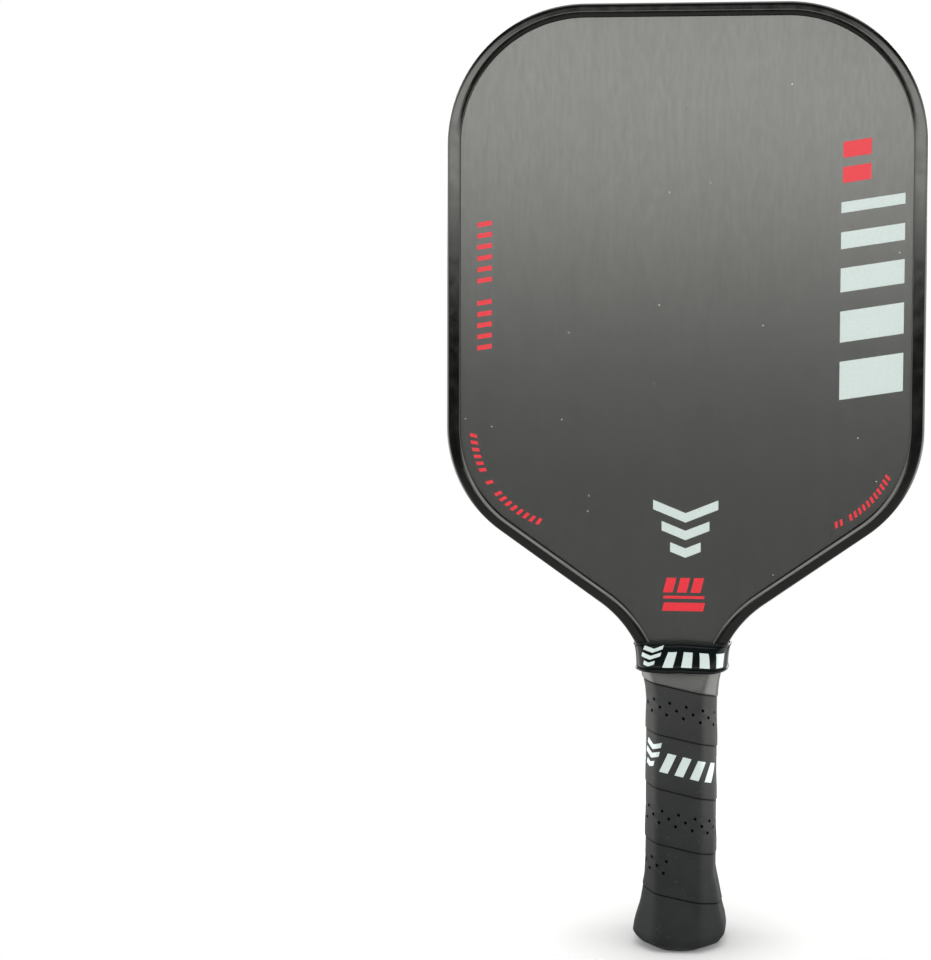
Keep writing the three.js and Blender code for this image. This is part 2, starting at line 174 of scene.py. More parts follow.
def raw_carbon():
    """Unpainted laminate: fibres that run up the paddle under a fine peel-ply grain."""
    look = Nodes("raw_carbon")
    fibres = look.noise(0.9, 4.0, (1, 1, 0.045))
    bundles = look.noise(7.0, 2.0, (1, 1, 0.06))
    clouds = look.noise(38.0, 2.0)
    tone = look.math("ADD", look.math("MULTIPLY", fibres, 0.5), look.math("MULTIPLY", bundles, 0.3))
    tone = look.math("ADD", tone, look.math("MULTIPLY", clouds, 0.2))
    color = look.blend(look.fit(tone, 0.32, 0.68), (0.0174, 0.0190, 0.0184), (0.0192, 0.0208, 0.0202))
    grain = look.noise(1.3, 2.0, (1, 1, 0.2))
    color = look.blend(look.fit(grain, 0.3, 0.7, 0.0, 0.10), color, (0.055, 0.056, 0.055))
    specks = look.fit(look.cells(9.0), 0.02, 0.035, 1.0, 0.0)
    chosen = look.fit(look.noise(15.0, 1.0), 0.52, 0.56)
    color = look.blend(look.math("MULTIPLY", specks, chosen), color, (0.5, 0.5, 0.48))
    look.color(color)
    fine_shine = look.fit(grain, 0.3, 0.7, 0.845, 0.94)
    broad_shine = look.fit(bundles, 0.3, 0.7, 0.0, 0.035)
    look.specular(look.math("ADD", fine_shine, broad_shine))
    look.roughness(look.fit(clouds, 0.3, 0.7, 0.258, 0.266))
    look.bump((grain, 0.0028))
    return look.material


def rubber(name, color, roughness, grain, depth, shine=0.5):
    """Black rubber or plastic with a light bloom and a fine skin."""
    look = Nodes(name)
    look.shader.inputs["Specular IOR Level"].default_value = shine
    bloom = look.noise(14.0, 4.0)
    light = tuple(1.5 * c + 0.0005 for c in color)
    look.color(look.blend(look.fit(bloom, 0.4, 0.75), color, light))
    look.roughness(look.fit(look.noise(5.0, 3.0), 0.3, 0.7, roughness - 0.04, roughness + 0.05))
    look.bump((look.noise(grain, 3.0), depth))
    return look.material


def cushion_leather():
    """Matt leather cloth with painted shade in its seams, holes and under side, dusty, and shinier
    where it is tight.
    """
    look = Nodes("cushion_leather")
    stretched = look.attribute("stretch")
    shade = look.attribute("depth_shade")
    shine = look.fit(stretched, 0.0, 1.0, 0.09, 0.85)
    # Painted shade also dims the shine in the seams, holes and under side.
    look.specular(look.math("MULTIPLY", shine, look.fit(shade, 0.0, 1.0, 1.0, 0.05)))
    patches = look.fit(look.noise(11.0, 4.0), 0.3, 0.7)
    color = look.blend(patches, (0.0126, 0.0138, 0.0148), (0.0190, 0.0204, 0.0217))
    dust = look.fit(look.noise(1.3, 5.0), 0.64, 0.74)
    color = look.blend(look.math("MULTIPLY", dust, 0.5), color, (0.05, 0.05, 0.05))
    # Painted shade: the seams, holes and under side are darkened to near black.
    color = look.blend(shade, color, (0.001, 0.001, 0.001))
    look.color(color)
    worn = look.fit(patches, 0.0, 1.0, 0.0, 0.08)
    look.roughness(look.math("ADD", look.fit(stretched, 0.0, 1.0, 0.6, 0.38), worn))
    pores = look.fit(look.cells(0.55), 0.0, 0.6)
    creases = look.noise(1.6, 4.0)
    look.bump((creases, 0.05), (pores, 0.03))
    return look.material


def ink(name, color, worn):
    """Printed ink that the grain of the surface under it shows through."""
    look = Nodes(name)
    grain = look.fit(look.noise(0.8, 4.0), 0.3, 0.75)
    look.color(look.blend(grain, color, worn))
    look.roughness(look.fit(grain, 0.0, 1.0, 0.34, 0.44))
    look.bump((look.noise(0.4, 2.0), 0.01))
    return look.material


def mottled(name, dark, light, grain, roughness, depth, metallic=0.0, stretch=(1, 1, 1)):
    """A grainy material between two colours, for the pieces inside."""
    look = Nodes(name, Metallic=metallic)
    blots = look.fit(look.noise(grain, 4.0, stretch), 0.3, 0.7)
    look.color(look.blend(blots, dark, light))
    look.roughness(look.fit(blots, 0.0, 1.0, roughness, roughness + 0.12))
    look.bump((blots, depth))
    return look.material


CARBON = raw_carbon()
GUARD_RUBBER = rubber("guard_rubber", (0.0012, 0.0014, 0.0015), 0.13, 0.6, 0.0015)
COLLAR_RUBBER = rubber("collar_rubber", (0.0028, 0.0042, 0.0050), 0.19, 0.9, 0.008, 0.12)
CAP_PLASTIC = rubber("cap_plastic", (0.012, 0.012, 0.013), 0.45, 0.35, 0.02)
LEATHER = cushion_leather()
PALE_INK = ink("pale_ink", (0.52, 0.59, 0.60), (0.46, 0.53, 0.54))
RED_INK = ink("red_ink", (0.68, 0.012, 0.030), (0.56, 0.010, 0.024))

INSIDE_LOOKS = {
    "bond_film": mottled("bond_film", (0.40, 0.36, 0.27), (0.52, 0.47, 0.36), 3, 0.4, 0.01),
    "honeycomb_core": mottled("honeycomb", (0.66, 0.65, 0.60), (0.80, 0.79, 0.75), 4, 0.6, 0.05),
    "perimeter_foam": mottled("edge_foam", (0.52, 0.43, 0.28), (0.66, 0.56, 0.38), 1, 0.8, 0.1),
    "edge_guard_tape": mottled("edge_tape", (0.55, 0.55, 0.52), (0.66, 0.66, 0.62), 5, 0.5, 0.01),
    "handle_pallet": mottled("pallet_foam", (0.03, 0.03, 0.03), (0.05, 0.05, 0.052), 1, 0.8, 0.1),
    "staple": mottled("steel", (0.44, 0.46, 0.48), (0.58, 0.60, 0.62), 1, 0.25, 0.005, 1, (1, 1, 8)),
    "finishing_tape": mottled("vinyl", (0.006, 0.006, 0.006), (0.011, 0.011, 0.012), 4, 0.3, 0.01),
}

for name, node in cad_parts.items():
    for key, look in INSIDE_LOOKS.items():
        if key in name:
            node.data.materials.clear()
            node.data.materials.append(look)
for name in ("front_face_sheet", "back_face_sheet"):
    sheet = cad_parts[name]
    sheet.data.materials.clear()
    sheet.data.materials.append(CARBON)

# ---------------------------------------------------------------- making pieces


def smoothstep(share):
    share = np.clip(share, 0, 1)
    return share * share * (3 - 2 * share)


def add_piece(name, points, faces, material, replaced=(), sharp=38):
    """A mesh from points in millimetres, smooth but for the edges sharper than an angle."""
    mesh = bpy.data.meshes.new(name)
    mesh.from_pydata((np.asarray(points) * MM).tolist(), [], faces)
    work = bmesh.new()
    work.from_mesh(mesh)
    bmesh.ops.recalc_face_normals(work, faces=work.faces)
    work.to_mesh(mesh)
    work.free()
    mesh.polygons.foreach_set("use_smooth", [True] * len(mesh.polygons))
    mesh.set_sharp_from_angle(angle=math.radians(sharp))
    mesh.materials.append(material)
    piece = bpy.data.objects.new(name, mesh)
    scene.collection.objects.link(piece)
    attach(piece, "root")
    if replaced:
        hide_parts(*replaced)
    return piece


def shade_points(piece, name, values):
    """Gives each point of a piece a number that its material reads."""
    attribute = piece.data.attributes.new(name, "FLOAT", "POINT")
    attribute.data.foreach_set("value", np.asarray(values, np.float32))


def ring_faces(rings, count, joined):
    """Quads between neighbouring rings. Joined means that the last ring meets the first."""
    faces = []
    for r in range(rings if joined else rings - 1):
        here = r * count
        there = (r + 1) % rings * count
        for i in range(count):
            j = (i + 1) % count
            faces.append((here + i, here + j, there + j, there + i))
    return faces


def curve_through(points, pieces):
    """A smooth curve through given points, with this many steps between two of them."""
    points = np.asarray(points, float)
    padded = np.vstack([2 * points[0] - points[1], points, 2 * points[-1] - points[-2]])
    made = []
    for a, b, c, d in zip(padded, padded[1:], padded[2:], padded[3:]):
        for t in np.arange(pieces) / pieces:
            pull = (2 * a - 5 * b + 4 * c - d) * t**2 + (3 * b - a - 3 * c + d) * t**3
            made.append(0.5 * (2 * b + (c - a) * t + pull))
    made.append(points[-1])
    return np.array(made)


# ---------------------------------------------------------------- outline of the head

guard_low, guard_high = (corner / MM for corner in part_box("edge_guard"))
HALF_WIDTH = guard_high.x
LENGTH = guard_high.z
TOP_CORNER_RADIUS = 59
SIDE_END_Z = 221.5
LOWER_CORNER_RADIUS = 54.2
SHOULDER_SLOPE = math.radians(34.9)
THROAT_RADIUS = 48.3
NECK_HALF_WIDTH = 14.2
DEGREES_PER_STEP = 2.5
FACE_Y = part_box("back_face_sheet")[1].y / MM
GUARD_END_Z = guard_low.z

shoulder_turn = math.pi / 2 - SHOULDER_SLOPE
TOP_CENTRE = (HALF_WIDTH - TOP_CORNER_RADIUS, LENGTH - TOP_CORNER_RADIUS)
LOWER_CENTRE = (HALF_WIDTH - LOWER_CORNER_RADIUS, SIDE_END_Z)
shoulder_x = LOWER_CENTRE[0] + LOWER_CORNER_RADIUS * math.cos(shoulder_turn)
shoulder_z = LOWER_CENTRE[1] - LOWER_CORNER_RADIUS * math.sin(shoulder_turn)
THROAT_X = NECK_HALF_WIDTH + THROAT_RADIUS
foot_x = THROAT_X - THROAT_RADIUS * math.cos(shoulder_turn)
foot_z = shoulder_z - (shoulder_x - foot_x) * math.tan(SHOULDER_SLOPE)
THROAT_CENTRE = (THROAT_X, foot_z - THROAT_RADIUS * math.sin(shoulder_turn))


def arc(centre, radius, start, end, side=1):
    """Rows of x, z and the outward normal along a circle. Side is -1 where it is hollow."""
    steps = math.ceil(math.degrees(abs(end - start)) / DEGREES_PER_STEP)
    angle = np.linspace(start, end, steps + 1)
    cos, sin = np.cos(angle), np.sin(angle)
    return np.stack([centre[0] + radius * cos, centre[1] + radius * sin, side * cos, side * sin], 1)


def rim_path():
    """The outline from the left throat over the top of the head to the right throat."""
    end_turn = math.asin((GUARD_END_Z - THROAT_CENTRE[1]) / THROAT_RADIUS)
    right = np.vstack(
        [
            arc(TOP_CENTRE, TOP_CORNER_RADIUS, math.pi / 2, 0),
            arc(LOWER_CENTRE, LOWER_CORNER_RADIUS, 0, -shoulder_turn),
            arc(THROAT_CENTRE, THROAT_RADIUS, math.pi - shoulder_turn, math.pi - end_turn, -1),
        ]
    )
    left = right[::-1] * (-1, 1, -1, 1)
    return np.vstack([left, right])


# ---------------------------------------------------------------- edge guard

GUARD_WEB = 0.9
LIP_GAP = 0.12  # between the lip and the face sheet
# Half of the section, as distance inwards from the outline and distance from the middle
# plane: up the outside of the web, over the crown of the lip and down its inner wall.
GUARD_HALF = [
    (0, 3.2),
    (0, 5.6),
    (0.06, 6.6),
    (0.26, 7.25),
    (0.6, 7.7),
    (1.05, 7.95),
    (1.7, 8.06),
    (2.6, 8.12),
    (3.5, 8.175),
    (3.7, 8.185),
    (3.8, 8.185),
    (4.1, 8.155),
    (4.6, 8.08),
    (5.1, 7.975),
    (5.5, 7.86),
    (5.72, 7.74),
    (5.85, 7.55),
    (5.92, 7.32),
    (5.94, FACE_Y + LIP_GAP),
]


def make_guard():
    outer = curve_through(GUARD_HALF, 3)
    half = np.vstack([outer, (GUARD_WEB + 0.3, FACE_Y + LIP_GAP), (GUARD_WEB, FACE_Y)])
    section = np.vstack([half, half[::-1] * (1, -1)])
    path = rim_path()
    inwards = section[None, :, 0]
    x = path[:, 0:1] - path[:, 2:3] * inwards
    z = path[:, 1:2] - path[:, 3:4] * inwards
    y = np.broadcast_to(section[:, 1], x.shape)
    points = np.stack([x, y, z], -1).reshape(-1, 3)
    count = len(section)
    faces = ring_faces(len(path), count, False)
    faces.append(tuple(range(count)))
    faces.append(tuple(range((len(path) - 1) * count, len(path) * count)))
    add_piece("edge_guard_channel", points, faces, GUARD_RUBBER, ["edge_guard"])


make_guard()

# ---------------------------------------------------------------- sections of the handle


def ring_radius(angle, half_x, half_y, chamfer, softness):
    """How far a soft-cornered octagon reaches from the handle's axis at an angle."""
    cos, sin = np.abs(np.cos(angle)), np.abs(np.sin(angle))
    diagonal = (half_x + half_y - chamfer) / math.sqrt(2)
    flats = (cos / half_x) ** softness + (sin / half_y) ** softness
    corners = ((cos + sin) / math.sqrt(2) / diagonal) ** softness
    return (flats + corners) ** (-1 / softness)


class Walk:
    """Turns a distance round a section into an angle. It starts in the middle of the front
    and goes towards +X."""

    def __init__(self, half_x, half_y, chamfer, softness):
        self.angle = np.linspace(0, 2 * np.pi, 1441) - np.pi / 2
        radius = ring_radius(self.angle, half_x, half_y, chamfer, softness)
        line = np.stack([radius * np.cos(self.angle), radius * np.sin(self.angle)], 1)
        steps = np.linalg.norm(np.diff(line, axis=0), axis=1)
        self.length = np.concatenate([[0], np.cumsum(steps)])
        self.round = self.length[-1]

    def at(self, distance):
        return np.interp(np.mod(distance, self.round), self.length, self.angle)


def soften(table, reach):
    """A table of heights and values, resampled finely with its corners rounded off."""
    table = np.array(table, float)
    step = 0.1
    height = np.arange(table[0, 0] - 3 * reach, table[-1, 0] + 3 * reach, step)
    window = np.hanning(2 * round(reach / step) + 3)[1:-1]
    window /= window.sum()
    columns = [height]
    for column in table.T[1:]:
        raw = np.interp(height, table[:, 0], column)
        edges = np.pad(raw, len(window) // 2, mode="edge")
        columns.append(np.convolve(edges, window, "valid"))
    return columns


# ---------------------------------------------------------------- grip strip

# The outside of the wrapped grip: height, half width, half depth and chamfer.
GRIP_SHAPE = [
    (1.8, 18.65, 18.55, 9.9),
    (3.2, 19.35, 19.25, 10.1),
    (6, 19.75, 19.65, 10.1),
    (10, 19.15, 19.05, 9.5),
    (15, 17.75, 17.65, 8.3),
    (20, 16.7, 16.6, 7.4),
    (26.6, 15.6, 15.5, 6.2),
    (31, 14.8, 14.8, 5.4),
    (104, 14.8, 14.8, 5.2),
    (108, 15.0, 14.65, 5.2),
    (112, 15.5, 14.1, 5.1),
    (116, 16.5, 13.3, 4.9),
    (118.4, 17.4, 12.8, 4.6),
    (124.4, 18.0, 10.9, 3.6),
]
GRIP_SOFTNESS = 24
RIM_Z = 1.8
TOP_Z = 124.4
# The lower edge of each turn in the middle of the front, from the first full turn upwards
TURN_HEIGHTS = [22.5, 43.4, 67.2, 90.5, 111.5]
END_PITCH = 21  # between the turns beyond both ends of that list
END_TURNS = 3
FIRST_TURN = -2.15
LAST_TURN = 4.5
STRIP_RISE = 26  # the width that the rows are laid out for, before each column is squeezed
OVERLAP = 3.6  # how far each turn lies under the next one
STRIP_THICKNESS = 1.7
EDGE_THICKNESS = 0.35
MARGIN = 3.6  # over which the strip thins towards its edges
EDGE_ROUND = 0.45
COLLAR_FOOT_Z = 116
SLACK_Z = 10  # up to here the strip lies slack
FIRM_Z = 100  # and from here on it is firm
FIRM_STRETCH = 0.25
TIGHT_TURN = 3.5  # the turn at which it starts to be pulled tight
TIGHTENING = 0.3  # turns over which that grows to its full strength

HOLE_ROWS = 3
HOLE_PITCH = 7.15  # measured round the handle
HOLE_ROW_RISE = 2.6
HOLE_MIDDLE = 11.6  # the middle row, up from the strip's lower edge
CELL_COLUMNS = 12
CELL_ROWS = 4
ROW_SHIFT = 5  # columns by which each row of holes moves against the row under it
HOLE_RINGS = [(1.05, 0.0), (0.82, -0.04), (0.68, 0.03), (0.6, 0.5), (0.52, 1.05)]
HOLE_RUNS = [(5.1, 165), (255.1, 400)]  # distances round the handle from the first full turn
HOLE_DARKENING = 2.5  # how fast the painted shade in a hole grows with each millimetre of depth
# Strength of the painted shade in the crease under each turn's lower edge.
CREASE_DARKNESS = 0.95
UNDER_ROWS = [0.1, 0.22, 0.38, 0.55, 0.72, 0.86, 0.94]  # across the under side, as shares

# Distances round the grip are measured on this half width, half depth and chamfer.
grip_walk = Walk(15, 14.9, 5.2, GRIP_SOFTNESS)
grip_height, grip_x, grip_y, grip_chamfer = soften(GRIP_SHAPE, 1.2)
turn_numbers = np.arange(len(TURN_HEIGHTS))
padded_turns = np.concatenate([[-END_TURNS], turn_numbers, [turn_numbers[-1] + END_TURNS]])
padded_heights = np.concatenate(
    [
        [TURN_HEIGHTS[0] - END_TURNS * END_PITCH],
        TURN_HEIGHTS,
        [TURN_HEIGHTS[-1] + END_TURNS * END_PITCH],
    ]
)
fine_turns, fine_heights = soften(np.stack([padded_turns, padded_heights], 1), 0.3)


def strip_foot(turn):
    """Height of the strip's lower edge, before it is cut off at the rim."""
    return np.interp(turn, fine_turns, fine_heights)


def strip_head(turn):
    """Height of the strip's upper edge, before it is cut off under the collar."""
    return strip_foot(turn + 1) + OVERLAP


def waves(along, up, seed):
    """A gentle uneven swell between -1 and 1."""
    total = 0
    for k in range(1, 6):
        phase = math.sin(12.9898 * (k + seed)) * 43.7
        total = total + np.sin(along * 0.09 * k**1.3 + up * 0.23 * math.cos(k * 2.1 + seed) + phase) / k
    return total / 2.3


def edge_thickness(distance):
    """The strip's thickness at a distance from its nearer edge, without the rounded rim."""
    return EDGE_THICKNESS + (STRIP_THICKNESS - EDGE_THICKNESS) * smoothstep(distance / MARGIN)


def lift(turn, up):
    """How far the turn below holds this one off the handle."""
    height = strip_foot(turn) + up
    beyond = height - strip_head(turn - 1)
    fade = 1 - smoothstep(beyond / 10)
    below = np.where(beyond < 0, edge_thickness(-beyond), EDGE_THICKNESS * fade)
    starts = smoothstep((turn - 1 - FIRST_TURN) / 0.12)
    under_collar = 1 - smoothstep((height - COLLAR_FOOT_Z) / 4)
    return below * starts * under_collar


def groove_shade(turn, up):
    """1 in the crease under the next turn's lower edge, falling to 0 on both sides. The crease's dip
    and its painted shade both follow it.
    """
    gap = strip_foot(turn) + up - strip_foot(turn + 1)
    shade = np.exp(-(((gap + 0.14) / 0.40) ** 2))
    return np.where(turn + 1 < LAST_TURN, shade, 0)


def stretch(turn, up):
    """1 on the last turn, pulled tight over the slope under the collar, 0 at the slack foot."""
    height = strip_foot(turn) + up
    firm = smoothstep((height - SLACK_Z) / (FIRM_Z - SLACK_Z))
    tight = smoothstep((turn - TIGHT_TURN) / TIGHTENING)
    return FIRM_STRETCH * firm + (1 - FIRM_STRETCH) * tight


def lower_cut(turn):
    """Where the rim cuts the strip, up from its uncut lower edge."""
    return np.maximum(0, RIM_Z - strip_foot(turn))


def upper_cut(turn):
    """Where the collar cuts the strip, up from its uncut lower edge."""
    return np.minimum(strip_head(turn), TOP_Z) - strip_foot(turn)


def strip_surface(turn, up):
    """Height of the strip's outer surface above the bare handle."""
    low = up - lower_cut(turn)
    high = upper_cut(turn) - up
    near = np.clip(np.minimum(low, high), 0, None)
    rounding = np.sqrt(np.clip(1 - np.clip(1 - near / EDGE_ROUND, 0, 1) ** 2, 0, 1))
    along = turn * grip_walk.round
    wrinkle = 0.08 * waves(along * 2.6, up, 3) * np.exp(-low / 2.5) + 0.06 * waves(along, up, 7)
    body = edge_thickness(near) * rounding + wrinkle * smoothstep(near / 1.5)
    return lift(turn, up) + body - 0.08 * groove_shade(turn, up)


def grip_point(turn, up, height):
    """A point of the grip: the turn, the distance up from the strip's uncut lower edge, and
    the height above the bare handle."""
    z = strip_foot(turn) + up
    angle = grip_walk.at(-turn * grip_walk.round)
    half_x = np.interp(z, grip_height, grip_x)
    half_y = np.interp(z, grip_height, grip_y)
    chamfer = np.interp(z, grip_height, grip_chamfer)
    radius = ring_radius(angle, half_x, half_y, chamfer, GRIP_SOFTNESS) - STRIP_THICKNESS + height
    return np.stack([radius * np.cos(angle), radius * np.sin(angle), z], -1)


def strip_rows():
    """Rows across the strip, close together at its edges and where the next turn lies on it."""
    lower = [0, 0.03, 0.09, 0.18, 0.3, 0.45, 0.7, 1.1, 1.6, 2.2, 2.9, 3.7, 4.6, 5.6, 6.8]
    band_rows = HOLE_ROWS * CELL_ROWS
    band_foot = HOLE_MIDDLE - HOLE_ROWS / 2 * HOLE_ROW_RISE
    band = band_foot + np.arange(band_rows + 1) * HOLE_ROW_RISE / CELL_ROWS
    upper = [17, 18.2, 19.2, *np.arange(19.8, 24.7, 0.3)]
    edge = [25, 25.4, 25.7, 25.9, STRIP_RISE]
    return np.array([*lower, *band, *upper, *edge]), len(lower), band[-1]


def cut_rows(rows, band_top, turn):
    """The rows of each column, squeezed where the rim or the collar's edge cuts the strip."""
    low = lower_cut(turn)[:, None]
    high = upper_cut(turn)[:, None]
    knee = np.minimum(band_top, high - 3)
    squeezed = knee + (rows - knee) * (high - knee) / (STRIP_RISE - knee)
    up = np.where(rows > knee, squeezed, rows)
    return low + up * (1 - low / STRIP_RISE)


def hole_places(columns, column_step, band_row):
    """The middle column and row of every hole's cell."""
    places = []
    start = FIRST_TURN * grip_walk.round
    for begin, end in HOLE_RUNS:
        first = round((begin - start) / column_step)
        last = round((end - start) / column_step)
        for row in range(HOLE_ROWS):
            offset = (row * ROW_SHIFT + 2) % CELL_COLUMNS
            middle = band_row + row * CELL_ROWS + CELL_ROWS // 2
            for column in range(first + offset, last, CELL_COLUMNS):
                if column + CELL_COLUMNS < columns:
                    places.append((column, middle))
    return places


def cell_border(column, row):
    """Grid places round a hole's cell, counter-clockwise from the middle of its right side."""
    wide, tall = CELL_COLUMNS // 2, CELL_ROWS // 2
    border = [(wide, k) for k in range(0, tall)]
    border += [(k, tall) for k in range(wide, -wide, -1)]
    border += [(-wide, k) for k in range(tall, -tall, -1)]
    border += [(k, -tall) for k in range(-wide, wide)]
    border += [(wide, k) for k in range(-tall, 0)]
    return [(column + a, row + b) for a, b in border]


class StripMesh:
    """The strip's mesh, put together from patches of points."""

    def __init__(self):
        self.points, self.shades, self.stretches, self.faces = [], [], [], []
        self.total = 0

    def add(self, turn, up, height, shade):
        """Adds points by turn, place up the strip and height. Gives the first one's number."""
        first = self.total
        self.points.append(grip_point(turn, up, height).reshape(-1, 3))
        self.shades.append(shade.reshape(-1))
        self.stretches.append(stretch(turn, up).reshape(-1))
        self.total += turn.size
        return first

    def finish(self):
        points = np.vstack(self.points)
        replaced = ["grip_wrap"]
        piece = add_piece("grip_strip", points, self.faces, LEATHER, replaced, 60)
        shade_points(piece, "depth_shade", np.concatenate(self.shades))
        shade_points(piece, "stretch", np.concatenate(self.stretches))


def punch_hole(strip, border, turn, up):
    """Rings of quads from a cell's border down into its hole, with a floor."""
    angles = 2 * np.pi * np.arange(len(border)) / len(border)
    before = border
    for radius, depth in HOLE_RINGS:
        ring_turn = turn + radius * np.cos(angles) / grip_walk.round
        ring_up = up + radius * np.sin(angles)
        surface = strip_surface(ring_turn, ring_up) - depth
        # Painted shade, growing deeper in the hole.
        shade = np.full(len(angles), np.clip(depth * HOLE_DARKENING, 0, 1))
        start = strip.add(ring_turn, ring_up, surface, shade)
        after = list(range(start, strip.total))
        for i in range(len(angles)):
            j = (i + 1) % len(angles)
            strip.faces.append((before[i], before[j], after[j], after[i]))
        before = after
    strip.faces.append(tuple(before))


def add_outside(strip, turn, rows, up, places):
    """The strip's outer surface, with its holes."""
    turns = np.broadcast_to(turn[:, None], up.shape)
    # The crease under each turn's edge gets painted shade.
    strip.add(turns, up, strip_surface(turns, up), CREASE_DARKNESS * groove_shade(turns, up))
    width = len(rows)
    taken = set()
    for column, row in places:
        for a in range(-CELL_COLUMNS // 2, CELL_COLUMNS // 2):
            for b in range(-CELL_ROWS // 2, CELL_ROWS // 2):
                taken.add((column + a, row + b))
        border = [c * width + r for c, r in cell_border(column, row)]
        punch_hole(strip, border, turn[column], rows[row])
    for c in range(len(turn) - 1):
        for r in range(width - 1):
            if (c, r) not in taken:
                here = c * width + r
                strip.faces.append((here, here + width, here + width + 1, here + 1))


def add_under_side(strip, turn, width):
    """The strip's under side, joined to the outer surface at both edges and both ends."""
    low = lower_cut(turn)[:, None]
    up = low + (upper_cut(turn)[:, None] - low) * np.array(UNDER_ROWS)
    turns = np.broadcast_to(turn[:, None], up.shape)
    # The under side is given full painted shade.
    start = strip.add(turns, up, lift(turns, up), np.ones(up.shape))
    count = len(UNDER_ROWS)

    def back(c):
        """The under side in one column, from its lower edge to its upper edge."""
        first = start + c * count
        return [c * width, *range(first, first + count), c * width + width - 1]

    for c in range(len(turn) - 1):
        here, there = back(c), back(c + 1)
        for r in range(count + 1):
            strip.faces.append((here[r], here[r + 1], there[r + 1], there[r]))
    for c in (0, len(turn) - 1):
        outside = tuple(c * width + r for r in range(width))
        strip.faces.append(outside + tuple(back(c)[-2:0:-1]))


def make_grip():
    rows, band_row, band_top = strip_rows()
    column_step = HOLE_PITCH / CELL_COLUMNS
    length = (LAST_TURN - FIRST_TURN) * grip_walk.round
    columns = int(length / column_step)
    turn = FIRST_TURN + np.arange(columns) * column_step / grip_walk.round
    up = cut_rows(rows, band_top, turn)
    strip = StripMesh()
    add_outside(strip, turn, rows, up, hole_places(columns, column_step, band_row))
    add_under_side(strip, turn, len(rows))
    strip.finish()


make_grip()

# ---------------------------------------------------------------- collar

# The collar's wall: height, half width, half depth and chamfer.
COLLAR_WALL = [
    (118.3, 19.5, 14.7, 5.4),
    (121, 19.75, 14.3, 5.0),
    (124.6, 20.1, 13.0, 4.3),
    (128, 20.55, 11.2, 3.4),
    (130.2, 20.8, 9.9, 2.6),
]
# How far the collar stands in and out of that wall, between its two beads
COLLAR_WAIST = [
    (119.95, -0.02),
    (121, -0.1),
    (122.6, -0.17),
    (124.4, -0.2),
    (126.2, -0.17),
    (127.7, -0.1),
    (128.6, -0.02),
]
COLLAR_INSIDE = [(130.1, -0.75), (127.5, -1.0), (124.6, -1.1), (121, -1.0), (118.4, -0.8)]
# How far each edge rides up on the faces and down on the edges. Below 0 it is the reverse.
COLLAR_FOOT_SADDLE = -0.25
COLLAR_HEAD_SADDLE = 0.65
COLLAR_SOFTNESS = 13
BEAD_RADIUS = 0.62
BEAD_OUT = 0.42
BEAD_HEIGHTS = (118.95, 129.6)
COLLAR_STEPS = 240
CHAMFER_GROWTH = 2 - math.sqrt(2)

collar_height, collar_x, collar_y, collar_chamfer = soften(COLLAR_WALL, 0.8)


def bead(height):
    """Half a circle of the collar's section: height, and how far out of the wall."""
    turns = np.radians(np.arange(-105, 106, 15))
    out = BEAD_OUT - BEAD_RADIUS + BEAD_RADIUS * np.cos(turns)
    return np.stack([height + BEAD_RADIUS * np.sin(turns), out], 1)


def collar_section():
    low, high = BEAD_HEIGHTS
    return np.vstack([bead(low), COLLAR_WAIST, bead(high), COLLAR_INSIDE])


def collar_point(angle, height, out):
    """A point of the collar, which bends like a saddle between the faces and the edges."""
    uneven = 0.12 * np.sin(3 * angle + 0.7) + 0.1 * np.sin(5 * angle + 2.1)
    uneven = uneven + 0.06 * np.sin(11 * angle)
    half_x = np.interp(height, collar_height, collar_x) + out + 0.5 * uneven
    half_y = np.interp(height, collar_height, collar_y) + out
    chamfer = np.interp(height, collar_height, collar_chamfer) + out * CHAMFER_GROWTH
    radius = ring_radius(angle, half_x, half_y, chamfer, COLLAR_SOFTNESS)
    x, y = radius * np.cos(angle), radius * np.sin(angle)
    share = (height - COLLAR_WALL[0][0]) / (COLLAR_WALL[-1][0] - COLLAR_WALL[0][0])
    saddle = COLLAR_FOOT_SADDLE + (COLLAR_HEAD_SADDLE - COLLAR_FOOT_SADDLE) * share
    rise = saddle * ((y / half_y) ** 2 - (x / half_x) ** 2) + uneven
    return np.stack([x, y, height + rise], -1)


def make_collar():
    section = collar_section()
    angle = 2 * np.pi * np.arange(COLLAR_STEPS) / COLLAR_STEPS
    rings = [collar_point(angle, height, out) for height, out in section]
    faces = ring_faces(len(rings), COLLAR_STEPS, True)
    points = np.vstack(rings)
    replaced = ["collar_band"]
    add_piece("collar_sleeve", points, faces, COLLAR_RUBBER, replaced, 60)


make_collar()

# ---------------------------------------------------------------- butt cap and disc

CAP_SOFTNESS = 16
CAP_STEPS = 192
DISC_RADIUS = 11
DISC_ROOM = 11.3
CAP_END = (0, 15.6, 11)  # height, half width and chamfer of the end face
# The rounded lip round that face: height and half width.
CAP_LIP = [
    (0.02, 16.0),
    (0.1, 16.55),
    (0.3, 17.05),
    (0.6, 17.45),
    (0.95, 17.7),
    (1.25, 17.8),
    (1.42, 17.75),
]
LIP_FLAT = 5.4  # half the width of the lip's flats, the same at every height
# The flare over the lip: height, half width and chamfer.
CAP_FLARE = [
    (1.5, 16.6, 7.9),
    (3.2, 17.3, 8.5),
    (6, 17.7, 8.9),
    (10, 17.1, 8.3),
    (15, 15.7, 7.1),
    (20, 14.65, 6.2),
    (27, 13.9, 5.1),
]
CAP_INSIDE = [(27, 13.2, 4), (3.1, 13.1, 4)]  # the same for the hollow


